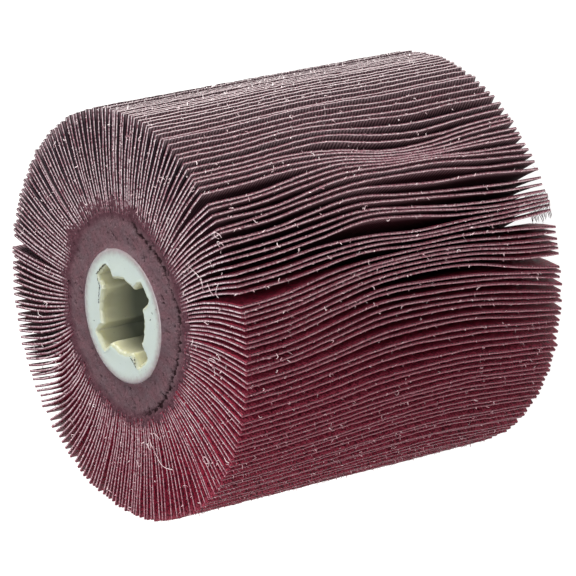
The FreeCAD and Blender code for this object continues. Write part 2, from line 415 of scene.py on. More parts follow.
def cotton_backing(look):
    """Back of the flaps: cotton twill, filled and dyed dark, stiff with glue.

    It is matt and nearly black, with fine ribs where the weft runs out from the hub. The real
    ribs are 0.5 mm apart, and here 0.95 mm, so that they show. Grey dust lies on the ribs toward
    the tips and at the very ends. Toward the red side the cloth is painted maroon, as painted red
    bounce light from the grain, and the dust is redder, as red dust and painted shade.
    """
    material, tree = new_tree("cotton_backing")
    cloth = add_node(tree, "ShaderNodeUVMap", uv_map="Cloth").outputs["UV"]
    place = add_node(tree, "ShaderNodeTexCoord").outputs["Object"]
    ribs = add_node(tree, "ShaderNodeTexWave", {
        "Vector": cloth, "Scale": WAVE / (0.95 * MM), "Distortion": 0.5,
        "Detail": 2.0, "Detail Scale": 1.5}, bands_direction="X").outputs["Fac"]
    warp = add_node(tree, "ShaderNodeTexWave", {
        "Vector": cloth, "Scale": WAVE / (0.5 * MM), "Distortion": 1.5,
        "Detail": 1.0}, bands_direction="Y").outputs["Fac"]
    wear = add_node(tree, "ShaderNodeTexNoise", {
        "Vector": cloth, "Scale": 1 / (7 * MM), "Detail": 5.0, "Roughness": 0.65}
    ).outputs["Fac"]
    fibres = add_node(tree, "ShaderNodeTexNoise", {
        "Vector": cloth, "Scale": 1 / (0.35 * MM), "Detail": 2.0}).outputs["Fac"]
    weave = add_node(tree, "ShaderNodeMath", {0: warp, 1: 0.25, 2: ribs},
                     operation="MULTIPLY_ADD").outputs[0]
    relief = add_node(tree, "ShaderNodeMath", {0: fibres, 1: 0.5, 2: weave},
                      operation="MULTIPLY_ADD").outputs[0]
    thread = laid_over(tree, "#0C0708", look.backing, relief, 0.5, 1.15)
    rubbed = laid_over(tree, thread, "#41323A", wear, 0.52, 0.75, (0.0, 0.3))
    # Painted red bounce light: the dark cloth turns maroon toward the red side.
    painted_red_bounce = add_node(tree, "ShaderNodeMix", {
        0: side_share(tree, place, -0.6, 0.05, 0.8), 6: rubbed, 7: "#4A0F1D"},
        data_type="RGBA").outputs[2]

    parts = add_node(tree, "ShaderNodeSeparateXYZ", {0: cloth})
    centred = add_node(tree, "ShaderNodeMath", {
        0: parts.outputs["X"], 1: FLAPS_MIDDLE}, operation="SUBTRACT").outputs[0]
    height = add_node(tree, "ShaderNodeMath", {0: centred}, operation="ABSOLUTE").outputs[0]
    near_end = add_node(tree, "ShaderNodeMapRange", {
        "Value": height, "From Min": FLAPS_HALF - 0.3 * MM,
        "From Max": FLAPS_HALF - 0.05 * MM}).outputs["Result"]
    near_tip = add_node(tree, "ShaderNodeMapRange", {
        "Value": parts.outputs["Y"], "From Min": TIP_RADIUS - 3.2 * MM,
        "From Max": TIP_RADIUS - 0.5 * MM}).outputs["Result"]
    near = add_node(tree, "ShaderNodeMath", {0: near_end, 1: near_tip},
                    operation="MAXIMUM").outputs[0]
    on_ribs = add_node(tree, "ShaderNodeMapRange", {
        "Value": relief, "From Min": 0.55, "From Max": 1.05, "To Min": 0.22, "To Max": 0.85}
    ).outputs["Result"]
    dusty = add_node(tree, "ShaderNodeMath", {0: near, 1: on_ribs},
                     operation="MULTIPLY").outputs[0]
    # Red dust and painted shade: the dust turns redder toward the red side.
    dust = add_node(tree, "ShaderNodeMix", {
        0: side_share(tree, place, -0.6, 0.4, 0.8), 6: "#8B767B", 7: "#7A3644"},
        data_type="RGBA").outputs[2]
    colour = add_node(tree, "ShaderNodeMix", {0: dusty, 6: painted_red_bounce, 7: dust},
                      data_type="RGBA").outputs[2]
    return finished(material, {
        "Base Color": colour, "Roughness": 0.9, "Specular IOR Level": 0.15}, relief, 0.8, 0.12)


def oxide_grain(look):
    """Front of the flaps: aluminium oxide of about grit 80, bound in dark red resin.

    Grains of 0.2 mm glint a little in a deep wine red. They are drawn 0.45 mm wide, and the
    cloth's ribs show faintly through them. The brightest of them near the tips are painted pale
    pink, as painted glints and dust.
    """
    material, tree = new_tree("oxide_grain")
    place = add_node(tree, "ShaderNodeTexCoord").outputs["Object"]
    cloth = add_node(tree, "ShaderNodeUVMap", uv_map="Cloth").outputs["UV"]
    ribs = add_node(tree, "ShaderNodeTexWave", {
        "Vector": cloth, "Scale": WAVE / (0.85 * MM), "Distortion": 1.2,
        "Detail": 2.0}, bands_direction="X").outputs["Fac"]
    grains = add_node(tree, "ShaderNodeTexVoronoi", {
        "Vector": place, "Scale": 1 / (0.45 * MM)}).outputs["Distance"]
    clumps = add_node(tree, "ShaderNodeTexNoise", {
        "Vector": place, "Scale": 1 / (1.1 * MM), "Detail": 4.0}).outputs["Fac"]
    coarse = add_node(tree, "ShaderNodeMath", {0: grains, 1: -0.8, 2: clumps},
                      operation="MULTIPLY_ADD").outputs[0]
    tone = add_node(tree, "ShaderNodeMath", {0: ribs, 1: 0.2, 2: coarse},
                    operation="MULTIPLY_ADD").outputs[0]
    body = laid_over(tree, "#48091A", look.grain, tone, -0.05, 0.35)
    # Painted glints and dust: the brightest grains near the tips turn pale pink.
    glints = add_node(tree, "ShaderNodeMapRange", {
        "Value": tone, "From Min": 0.12, "From Max": 0.34, "To Max": 0.42}).outputs["Result"]
    dust = add_node(tree, "ShaderNodeMath", {0: glints, 1: near_tips(tree, place, 1.0, 2.6)},
                    operation="MULTIPLY").outputs[0]
    colour = add_node(tree, "ShaderNodeMix", {0: dust, 6: body, 7: "#904858"},
                      data_type="RGBA").outputs[2]
    gloss = add_node(tree, "ShaderNodeMapRange", {
        "Value": clumps, "From Min": 0.3, "From Max": 0.7,
        "To Min": 0.45, "To Max": 0.7}).outputs["Result"]
    return finished(material, {
        "Base Color": colour, "Roughness": gloss, "Specular IOR Level": 0.35}, tone, 0.8, 0.15)


def cut_cotton(look):
    """Cut edge of the cloth: undyed yarn ends, beaded and fuzzy, 0.6 mm apart.

    They are a pinkish white, darker between the yarns, and stained maroon by the resin near the
    feet. At the tips on the side opposite the red one, the lit side, they are greyer, as painted
    light.
    """
    material, tree = new_tree("cut_cotton")
    cloth = add_node(tree, "ShaderNodeUVMap", uv_map="Cloth").outputs["UV"]
    place = add_node(tree, "ShaderNodeTexCoord").outputs["Object"]
    yarns = add_node(tree, "ShaderNodeTexVoronoi", {
        "Vector": place, "Scale": 1 / (0.62 * MM)}).outputs["Distance"]
    fluff = add_node(tree, "ShaderNodeTexNoise", {
        "Vector": place, "Scale": 1 / (0.9 * MM), "Detail": 3.0, "Roughness": 0.7}
    ).outputs["Fac"]
    knots = add_node(tree, "ShaderNodeMath", {0: yarns, 1: -0.7, 2: fluff},
                     operation="MULTIPLY_ADD").outputs[0]
    beads = add_node(tree, "ShaderNodeMath", {0: rib_ends(tree, cloth), 1: 0.15, 2: knots},
                     operation="MULTIPLY_ADD").outputs[0]
    soil = add_node(tree, "ShaderNodeTexNoise", {
        "Vector": place, "Scale": 1 / (4 * MM), "Detail": 3.0}).outputs["Fac"]
    yarn = laid_over(tree, "#5A333D", look.edge, beads, -0.04, 0.3)
    soiled = laid_over(tree, yarn, "#84535F", soil, 0.5, 0.72, (0.0, 0.75))
    depth = add_node(tree, "ShaderNodeSeparateXYZ", {0: cloth}).outputs["Y"]
    ragged = add_node(tree, "ShaderNodeMath", {0: soil, 1: 4 * MM, 2: depth},
                      operation="MULTIPLY_ADD").outputs[0]
    stained = laid_over(tree, soiled, "#4F2C36", ragged, CORE_RADIUS + 2.6 * MM,
                        CORE_RADIUS + 5.2 * MM, (0.9, 0.0))
    # Painted light: the tips on the lit side, opposite the red one, turn grey.
    grey = side_share(tree, place, 0.5, -0.4, 0.5)
    lit_side_grey = add_node(tree, "ShaderNodeMix", {
        0: near_tips(tree, place, grey), 6: stained, 7: "#7E7073"},
        data_type="RGBA").outputs[2]
    return finished(material, {
        "Base Color": dust_and_side_light(tree, place, lit_side_grey, "#DCD1D2", "#8C3E4E"),
        "Roughness": 0.95, "Specular IOR Level": 0.15, "Sheen Weight": 0.25,
        "Sheen Roughness": 0.4}, beads, 1.0, 0.25)


def cut_grain():
    """Cut edge of the grain layer: broken red resin and grain between the ends of ribs."""
    material, tree = new_tree("cut_grain")
    place = add_node(tree, "ShaderNodeTexCoord").outputs["Object"]
    cloth = add_node(tree, "ShaderNodeUVMap", uv_map="Cloth").outputs["UV"]
    grains = add_node(tree, "ShaderNodeTexNoise", {
        "Vector": place, "Scale": 1 / (0.4 * MM), "Detail": 3.0}).outputs["Fac"]
    tone = add_node(tree, "ShaderNodeMath", {0: rib_ends(tree, cloth), 1: 0.3, 2: grains},
                    operation="MULTIPLY_ADD").outputs[0]
    colour = laid_over(tree, "#240710", "#6C3442", tone, 0.48, 0.86)
    return finished(material, {
        "Base Color": colour, "Roughness": 0.75, "Specular IOR Level": 0.3}, grains, 0.9, 0.2)


def cotton_fibre(look):
    """Loose ends of the yarn: bleached cotton with pink dust on it, matt and soft. They are paler
    on the lit side and redder on the shaded side, as dust with painted light and shade.
    """
    material, tree = new_tree("cotton_fibre")
    place = add_node(tree, "ShaderNodeTexCoord").outputs["Object"]
    dust = add_node(tree, "ShaderNodeTexNoise", {
        "Vector": place, "Scale": 1 / (2.5 * MM), "Detail": 3.0}).outputs["Fac"]
    pink = laid_over(tree, look.fibre, "#A27B82", dust, 0.35, 0.65)
    return finished(material, {
        "Base Color": dust_and_side_light(tree, place, pink, "#F2ECEB", "#9A5564", 0.35),
        "Roughness": 0.9, "Specular IOR Level": 0.1, "Sheen Weight": 0.1})


def cast_epoxy(look):
    """Core: epoxy with mineral filler and red grinding dust, poured and left as it set.

    It is a dull mauve, mottled over 2 to 4 mm, with dark and pale specks of filler, painted shade
    in its hollows and a maroon border where it has crept between the flaps.
    """
    material, tree = new_tree("cast_epoxy")
    place = add_node(tree, "ShaderNodeTexCoord").outputs["Object"]
    cloud = add_node(tree, "ShaderNodeTexNoise", {
        "Vector": place, "Scale": 1 / (3.2 * MM), "Detail": 5.0, "Roughness": 0.6}
    ).outputs["Fac"]
    filler = add_node(tree, "ShaderNodeTexNoise", {
        "Vector": place, "Scale": 1 / (0.5 * MM), "Detail": 3.0, "Roughness": 0.7}
    ).outputs["Fac"]
    mottled = laid_over(tree, look.resin, "#534045", cloud, 0.36, 0.62)
    speckled = laid_over(tree, mottled, "#33201F", filler, 0.36, 0.43, (0.85, 0.0))
    filled = laid_over(tree, speckled, "#8D7A7E", filler, 0.62, 0.72, (0.0, 0.5))
    ragged = add_node(tree, "ShaderNodeMath", {
        0: cloud, 1: 4 * MM, 2: from_axis(tree, place)}, operation="MULTIPLY_ADD").outputs[0]
    edged = laid_over(tree, filled, "#44232C", ragged, CORE_RADIUS - 0.3 * MM,
                      CORE_RADIUS + 1.8 * MM, (0.0, 0.85))
    # Painted shade: the pits, the crevice and the gash are painted nearly black.
    hollow = add_node(tree, "ShaderNodeAttribute", attribute_name="hollow").outputs["Fac"]
    hollow_shade = add_node(tree, "ShaderNodeMath", {0: filler, 1: -0.9, 2: hollow},
                      operation="MULTIPLY_ADD").outputs[0]
    colour = laid_over(tree, edged, "#22090F", hollow_shade, -0.15, 0.15)
    relief = add_node(tree, "ShaderNodeMath", {0: filler, 1: 0.5, 2: cloud},
                      operation="MULTIPLY_ADD").outputs[0]
    return finished(material, {
        "Base Color": colour, "Roughness": 0.7, "IOR": 1.52, "Specular IOR Level": 0.22},
        relief, 0.9, 0.6)


def moulded_nylon(look):
    """Hub: natural nylon 6, injection moulded, milky and a little translucent.

    The ends are a cool white. Down the bore the colour is painted light and shade: a greyer ivory
    at its rounded mouth, as painted shade against the light it catches, a warmer, brighter ivory
    below it, as painted light through the nylon, and olive from 11 mm down, as painted shade
    where little light reaches. Resin dust clings to the rim, and the fade to mauve over it is
    also painted shade. Grey specks of dirt are 0.3 mm wide.
    """
    material, tree = new_tree("moulded_nylon")
    place = add_node(tree, "ShaderNodeTexCoord").outputs["Object"]
    depth = add_node(tree, "ShaderNodeAttribute", attribute_name="depth").outputs["Fac"]
    # Painted light and shade down the bore: greyer at the mouth, brighter below it, dark olive
    # deep inside.
    wall = laid_over(tree, "#9B9D88", "#C2C0A0", depth, 0.7 * MM, 2.0 * MM)
    bore = laid_over(tree, wall, "#5C6051", depth, 2.0 * MM, 11 * MM)
    white = laid_over(tree, look.nylon, bore, depth, 0.0, 0.35 * MM)
    cloud = add_node(tree, "ShaderNodeTexNoise", {
        "Vector": place, "Scale": 1 / (1.1 * MM), "Detail": 4.0}).outputs["Fac"]
    ragged = add_node(tree, "ShaderNodeMath", {
        0: cloud, 1: 1.8 * MM, 2: from_axis(tree, place)}, operation="MULTIPLY_ADD").outputs[0]
    # Resin dust and painted shade: the nylon fades to mauve over the rim.
    rim_smear_and_shade = laid_over(tree, white, "#7E6C70", ragged, HUB_RADIUS - 1.9 * MM,
                        HUB_RADIUS + 1.0 * MM, (0.0, 0.9), interpolation_type="SMOOTHSTEP")
    cells = add_node(tree, "ShaderNodeTexVoronoi", {
        "Vector": place, "Scale": 1 / (1.9 * MM)}).outputs["Distance"]
    colour = laid_over(tree, rim_smear_and_shade, "#7C7A76", cells, 0.05, 0.11, (0.7, 0.0))
    return finished(material, {
        "Base Color": colour, "Roughness": 0.42, "IOR": 1.53, "Subsurface Weight": 0.7,
        "Subsurface Radius": (1.0, 1.0, 0.75), "Subsurface Scale": 3 * MM}, cloud, 0.25, 0.1)


def ground_in_dirt():
    """Dirt that clings to the nylon: dark grey metal and resin dust, caked and matt."""
    material, tree = new_tree("ground_in_dirt")
    place = add_node(tree, "ShaderNodeTexCoord").outputs["Object"]
    cake = add_node(tree, "ShaderNodeTexNoise", {
        "Vector": place, "Scale": 1 / (0.3 * MM), "Detail": 2.0}).outputs["Fac"]
    colour = add_node(tree, "ShaderNodeMix", {0: cake, 6: "#141113", 7: "#4A4442"},
                      data_type="RGBA").outputs[2]
    return finished(material, {
        "Base Color": colour, "Roughness": 0.9, "Specular IOR Level": 0.2}, cake, 0.6, 0.05)


def studio_floor(look):
    """Floor: a sheet of matt white acrylic that glows, as on a product table lit from
    beneath. A cloudiness that hardly shows keeps it from being one flat grey."""
    material, tree = new_tree("studio_floor")
    place = add_node(tree, "ShaderNodeTexCoord").outputs["Object"]
    cloud = add_node(tree, "ShaderNodeTexNoise", {
        "Vector": place, "Scale": 60.0, "Detail": 2.0}).outputs["Fac"]
    return finished(material, {
        "Base Color": laid_over(tree, "#84847F", "#8C8C88", cloud, 0.3, 0.7),
        "Roughness": 0.9, "Specular IOR Level": 0.1,
        "Emission Color": (1.0, 1.0, 1.0, 1.0), "Emission Strength": look.floor_glow})


# Sizes and colours that a user would change


def length_setting(name, description, size, least=0.0):
    """A length to set, with its default and its least value in millimetres."""
    return FloatProperty(name=name, description=description, default=size * MM,
                         min=least * MM, unit="LENGTH", precision=5)


def colour_setting(name, description, code):
    """A colour to set, with its default as a hex code."""
    return FloatVectorProperty(name=name, description=description, subtype="COLOR", size=4,
                               default=linear(code), min=0.0, max=1.0)


class FlapLook(bpy.types.PropertyGroup):
    """The sheets of abrasive cloth and the yarn that stands out of their edges."""

    thickness: length_setting("Cloth thickness", "Abrasive cloth with its grain", 0.6, 0.1)
    cotton_share: FloatProperty(
        name="Cotton share", description="Part of the thickness that is cotton",
        default=0.55, min=0.1, max=0.9, subtype="FACTOR")
    steps_along: IntProperty(
        name="Steps along", description="Spaces in the mesh along the axis", default=84, min=8)
    steps_deep: IntProperty(
        name="Steps deep", description="Spaces in the mesh from foot to tip", default=5, min=2)
    ripple: length_setting("Ripple", "Sideways ripple that a bundle of flaps shares", 0.22)
    looseness: length_setting(
        "Looseness", "Sideways ripple of a flap by itself, where it has room", 0.18)
    unevenness: length_setting("Unevenness", "How far cut edges stand in or out", 0.22)
    yarn_ends: IntProperty(
        name="Yarn ends", description="Loose ends on all edges", default=20000, min=0)
    backing: colour_setting("Backing", "Raised threads of the dark cloth", "#3A2C34")
    grain: colour_setting("Grain", "Abrasive grain in its resin", "#8E1833")
    edge: colour_setting("Cut edge", "Yarn ends along the cut", "#C0AFB2")
    fibre: colour_setting("Fibre", "Loose cotton", "#EFE3E2")


class CoreLook(bpy.types.PropertyGroup):
    """The cast resin and the hub in it."""

    creep: length_setting("Creep", "How far resin has run out between the flaps", 2.4)
    pits: IntProperty(
        name="Pits", description="Burst bubbles on each face", default=120, min=0)
    bore: length_setting("Bore", "Diameter of the bore", 19, 4)
    slot_width: length_setting("Slot width", "Width of a driving slot", 5.2, 1)
    slot_depth: length_setting("Slot depth", "From the bore's wall to the slot's floor", 3.8, 0.5)
    rim: length_setting("Rim rounding", "Rounding of the hub's rims", 0.8, 0.1)
    mouth: length_setting("Mouth rounding", "Rounding of the bore's mouths", 1.0, 0.1)
    resin: colour_setting("Resin", "Main colour of the resin", "#593D43")
    nylon: colour_setting("Nylon", "Colour of the hub's ends", "#A7B0AA")


class LintLook(bpy.types.PropertyGroup):
    """Loose threads and fluff that lie on the drum."""

    curls: IntProperty(
        name="Curls", description="Short curled threads on the side", default=300, min=0)
    face_curls: IntProperty(
        name="Face curls", description="Short threads on each end face", default=70, min=0)
    thickness: length_setting("Thread radius", "Half the thickness of a thread", 0.075, 0.01)


class StudioLook(bpy.types.PropertyGroup):
    """Floor, lights and the camera's lens."""

    floor_glow: FloatProperty(
        name="Floor glow", description="Light from beneath the floor", default=0.95, min=0.0)
    sky: FloatProperty(
        name="Sky", description="Even light from all round", default=0.165, min=0.0)
    key: FloatProperty(
        name="Key", description="Power of the large soft light", default=20.0, min=0.0,
        unit="POWER")
    lens: FloatProperty(
        name="Lens", description="Focal length", default=250.0, min=1.0)


# Pieces


def flap_sheets(look):
    """Corners of every flap, as an array [flap, station, corner of the section, xyz].

    The middle of a sheet at a share u of its depth is turned from its foot by s / r. Its
    sideways place s is t (3 u^2 - u^3) / 2, the bend of a strip held at its foot, plus
    (m - 5 t / 16) sin(pi u), its belly, so that it passes the CAD flap's sideways places
    m at half depth and t at the tip. Ripples add to this by u^1.3, and are smaller where
    the neighbours leave less room. The two faces lie half a thickness to each side. A
    section runs out along the cloth, over the tip, back along the grain and under the
    foot. Returned are each flap's pack and foot angle, the sections, the line between
    cotton and grain, and each corner's place on the cloth. Where a flap's number or angle
    goes into a ripple, its factor says how unlike its neighbour's the flap's ripple is.
    """
    packs, feet, middles, tips = read_flaps()
    count = len(feet)
    chance = np.random.default_rng(31)
    along = np.linspace(0, 1, look.steps_along + 1)
    deep = np.linspace(0, 1, look.steps_deep + 1)
    middle, tip = smooth_through(middles, along), smooth_through(tips, along)

    places = feet[:, None] * TIP_RADIUS + tip
    space = np.diff(places, axis=0, append=places[:1] + FULL_TURN * TIP_RADIUS)
    space = space - look.thickness
    room = np.clip(np.minimum(space, np.roll(space, 1, axis=0)) / (0.9 * MM), 0, 1)
    numbers = np.arange(count)[:, None]
    heights = along * 2 * FLAPS_HALF / MM
    shared = ripples(5, together(heights, numbers * 1.5), (28, 80))
    own_waves = FULL_TURN / chance.uniform(24, 90, (count, 3, 1))
    own = np.cos(heights * own_waves + chance.uniform(0, FULL_TURN, (count, 3, 1))).sum(1)
    kinks = ripples(6, together(heights, numbers * 11.0), (4, 12))
    wobble = look.ripple * shared * (0.25 + 0.75 * room)
    wobble += look.looseness * (0.6 * own + 0.07 * kinks) * room

    u = deep[None, None]
    belly = (middle - tip * 5 / 16)[..., None]
    belly = belly + chance.normal(size=(count, 1, 1)) * 0.1 * MM * room[..., None]
    sideways = (tip[..., None] * (3 * u ** 2 - u ** 3) / 2 + belly * np.sin(math.pi * u)
                + wobble[..., None] * u ** 1.3)
    ragged = ripples(8, together(heights, numbers * 7.3), (1.6, 7))
    cut = look.unevenness * (0.2 * ragged + 0.7 * chance.normal(size=(count, 1)).clip(-1.3, 1.3))
    radius = CORE_RADIUS + (TIP_RADIUS - CORE_RADIUS + cut[..., None]) * u
    ends = chance.normal(size=(count, 4, 1)).clip(-1.5, 1.5) * look.unevenness * 0.5
    fray = ripples(9, together(deep * ROUND_CORE, feet[:, None] * 400), (1.5, 8))
    low = FLAPS_LOW + ends[:, 0] + ends[:, 1] * deep + 0.3 * look.unevenness * fray
    high = FLAPS_HIGH + ends[:, 2] + ends[:, 3] * deep + 0.3 * look.unevenness * fray[::-1]
    height = low[:, None] + (high - low)[:, None] * along[:, None]

    angle = feet[:, None, None] + sideways / radius
    half = look.thickness / 2 / radius
    cloth = from_polar(radius, angle - half, height)
    grain = from_polar(radius, angle + half, height)
    split = from_polar(radius, angle + half * (2 * look.cotton_share - 1), height)
    section = np.concatenate([cloth, split[:, :, -1:], grain[:, :, ::-1], split[:, :, :1]], 2)
    flat = together(height, radius)
    pattern = np.concatenate([flat, flat[:, :, -1:], flat[:, :, ::-1], flat[:, :, :1]], 2)
    return packs, feet, section, split, pattern


def flap_faces(look):
    """Quads of one flap and their materials, for points in the order of flap_sheets."""
    deep, rows = look.steps_deep, look.steps_along + 1
    size = 2 * deep + 4
    around = grid_faces(rows, size, closed_columns=True)
    kinds = np.concatenate([np.full(deep, 0), [2], [3], np.full(deep, 1), [3], [2]])
    sets = [(around, np.tile(kinds, rows - 1))]
    inner = rows * size + np.arange(2 * (deep - 1)).reshape(2, -1)
    for row, extra, turned in ((0, inner[0], True), (rows - 1, inner[1], False)):
        start = row * size
        cloth = start + np.arange(deep + 1)
        split = np.concatenate([[start + size - 1], extra, [start + deep + 1]])
        grain = start + size - 2 - np.arange(deep + 1)
        for near, far, kind in ((cloth, split, 2), (split, grain, 3)):
            quads = np.stack([near[:-1], near[1:], far[1:], far[:-1]], -1)
            sets.append((quads[:, ::-1] if turned else quads, np.full(deep, kind)))
    return np.concatenate([faces for faces, _ in sets]), np.concatenate([k for _, k in sets])


# Shares of the loose yarn ends: those on a flap's ends, the rest being on its tip, those
# of them on the upper end, and those that are thick tufts
ON_END, ON_UPPER, THICK = 0.3, 0.62, 0.16


def yarn_tufts(section, split, look, chance, share):
    """Loose yarn ends of one pack: short tapered threads that start inside the cut edges.

    A thread's path is its root plus (outward + stray) s + sag s^2 at s = 0, 1/2 and 1,
    where s is its share of the length. The share is the pack's, of all yarn ends.
    """
    count = int(look.yarn_ends * share)
    flaps = len(section)
    flap = chance.integers(flaps, size=count)
    tip = look.steps_deep
    on_end = chance.random(count) < ON_END
    spot = chance.random(count) ** 0.9
    station = spot * look.steps_along
    index = np.minimum(station.astype(int), look.steps_along - 1)
    part = (station - index)[:, None]
    blend = chance.uniform(0.1, 0.9, (count, 1))
    cloth, inner = (between(section[flap, index, corner], section[flap, index + 1, corner], part)
                    for corner in (tip, tip + 1))
    tip_root = between(inner, cloth, blend)
    outward = tip_root * (1, 1, 0)
    outward /= np.linalg.norm(outward, axis=1, keepdims=True)

    row = np.where(chance.random(count) < ON_UPPER, look.steps_along, 0)
    depth = (0.12 + 0.88 * chance.random(count)) * tip
    step = np.minimum(depth.astype(int), tip - 1)
    rest = (depth - step)[:, None]
    near, far = (between(line[flap, row, step], line[flap, row, step + 1], rest)
                 for line in (section, split))
    end_root = between(far, near, blend)
    upward = np.zeros((count, 3))
    upward[:, 2] = np.where(row > 0, 1.0, -1.0)

    root = np.where(on_end[:, None], end_root, tip_root)
    out = np.where(on_end[:, None], upward, outward)
    stray = chance.normal(size=(count, 3)) * 0.5
    tuft = chance.random(count) < THICK
    length = np.where(tuft, chance.uniform(0.25, 0.5, count),
                      chance.uniform(0.2, 0.6, count) ** 1.3) * MM
    length *= np.where(on_end, 0.75, 1.0)
    sag = chance.normal(size=(count, 3)) * 0.5
    s = np.array([0.0, 0.5, 1.0])[:, None]
    paths = (root - out * 0.12 * MM)[:, None] + length[:, None, None] * (
        (out * 0.85 + stray)[:, None] * s + sag[:, None] * s ** 2)
    girth = np.where(tuft, chance.uniform(0.12, 0.2, count), chance.uniform(0.04, 0.075, count))
    radii = girth[:, None] * np.array([1.0, 0.85, 0.35]) * MM
    paths[..., 2] = paths[..., 2].clip(HUB_LOW.z + 0.2 * MM, HUB_HIGH.z - 0.2 * MM)
    lift = np.roll(out, 1, axis=1)[:, None] + 0.31
    return threads(paths, radii, 3, lift)


# Flaps that fray at the lower corner, from and to the degrees of their feet, and where the
# threads hang on their tips, as parts of the flap's width
FRAYED_FLAPS = (160, 172)
FRAYED_SPAN = (0.1 / 84, 5.6 / 84)


def frayed_corners(section, feet, look):
    """Threads that hang out of the lower tip corners of a few flaps, 0.45 mm apart.

    A path is root + length ((out / 3 + fall + stray) s - 0.3 out s^2), where fall points
    the way that the angle falls, and the first flap's threads are twice as long.
    """
    chance = np.random.default_rng(13)
    turned = np.degrees(feet)
    flaps = np.flatnonzero((turned > FRAYED_FLAPS[0]) & (turned < FRAYED_FLAPS[1]))
    stations = np.linspace(*FRAYED_SPAN, 15) * look.steps_along
    index = stations.astype(int)
    part = (stations - index)[:, None]
    roots, sizes = [], []
    for number, flap in enumerate(flaps):
        tip = section[flap, :, look.steps_deep]
        roots.append(between(tip[index], tip[index + 1], part))
        sizes.append(np.full(len(stations), 1.8 if number == 0 else 0.9))
    roots = np.concatenate(roots)
    sizes = np.concatenate(sizes) * chance.uniform(0.6, 1.15, len(roots)) * MM
    out = roots * (1, 1, 0)
    out /= np.linalg.norm(out, axis=1, keepdims=True)
    fall = np.stack([out[:, 1], -out[:, 0], 0 * out[:, 0]], -1)
    stray = chance.normal(size=(len(roots), 3)) * 0.12
    s = np.linspace(0, 1, 4)[:, None]
    paths = (roots - out * 0.2 * MM)[:, None] + sizes[:, None, None] * (
        (out / 3 + fall + stray)[:, None] * s - (out * 0.3)[:, None] * s ** 2)
    paths[..., 2] = paths[..., 2].clip(HUB_LOW.z + 0.2 * MM, None)
    girth = chance.uniform(0.08, 0.13, (len(roots), 1)) * np.array([1.0, 1.0, 0.9, 0.5]) * MM
    return threads(paths, girth, 4, LEANING)


class FLAPWHEEL_OT_flaps(bpy.types.Operator):
    """Adds every pack of flaps with the loose yarn on its edges"""

    bl_idname = "flapwheel.flaps"
    bl_label = "Flaps"

    def execute(self, context):
        look = context.scene.flap_look
        torn = cut_grain()
        finishes = [cotton_backing(look), oxide_grain(look), cut_cotton(look), torn,
                    cotton_fibre(look)]
        packs, feet, section, split, pattern = flap_sheets(look)
        faces, kinds = flap_faces(look)
        inner = split[:, [0, -1], 1:-1]
        inner_pattern = pattern[:, [0, -1], 1:look.steps_deep]
        chance = np.random.default_rng(77)
        for number, name in enumerate(PACKS):
            mine = np.flatnonzero(packs == number)
            sheets = [np.concatenate([section[flap].reshape(-1, 3), inner[flap].reshape(-1, 3)])
                      for flap in mine]
            places = [np.concatenate([pattern[flap].reshape(-1, 2),
                                      inner_pattern[flap].reshape(-1, 2)]) for flap in mine]
            shift = (np.arange(len(mine)) * len(sheets[0]))[:, None, None]
            tuft_points, tuft_faces = yarn_tufts(
                section[mine], split[mine], look, chance, len(mine) / len(packs))
            start = len(mine) * len(sheets[0])
            points = np.concatenate(sheets + [tuft_points])
            cloth = np.concatenate(places + [np.zeros((len(tuft_points), 2))])
            sets = [((faces + shift).reshape(-1, 4), np.tile(kinds, len(mine)))]
            sets += [(tuft + start, 4) for tuft in tuft_faces]
            mesh = build_mesh(name.replace("flap_pack", "flaps"), points, sets, finishes, cloth)
            add_piece(mesh, "abrasive_cloth", name)
        points, groups = frayed_corners(section, feet, look)
        mesh = build_mesh("frayed_corners", points, [(group, 0) for group in groups], [torn])
        add_piece(mesh, "abrasive_cloth")
        return {"FINISHED"}


# Course of the crevice in the resin's upper face, as (degrees, millimetres from the axis)
CREVICE = [(60, 25.7), (83, 24.7), (113, 23.2), (131, 23.3), (145, 24.2), (156, 24.4),
           (169, 23.5), (187, 23.8), (199, 23.6), (213, 23.5), (222, 25.1)]
CREVICE_STARTS = (50, 85)       # degrees where it begins and is fully there
CREVICE_ENDS = (215, 228)       # degrees where it fades and has gone
# One short gash in that face, in millimetres: the way it runs, its middle along and across
# that way, and half its length and width
GASH_WAY = (-0.225, 0.974)
GASH_ALONG, GASH_ACROSS = -15.81, -13.25
GASH_REACH, GASH_HALF = 1.3, 0.22


def crown(angle):
    """Share from 0 to 1 that is largest at 250 degrees, where more resin has run out."""
    return np.cos(angle - math.radians(250)).clip(0, None) ** 5


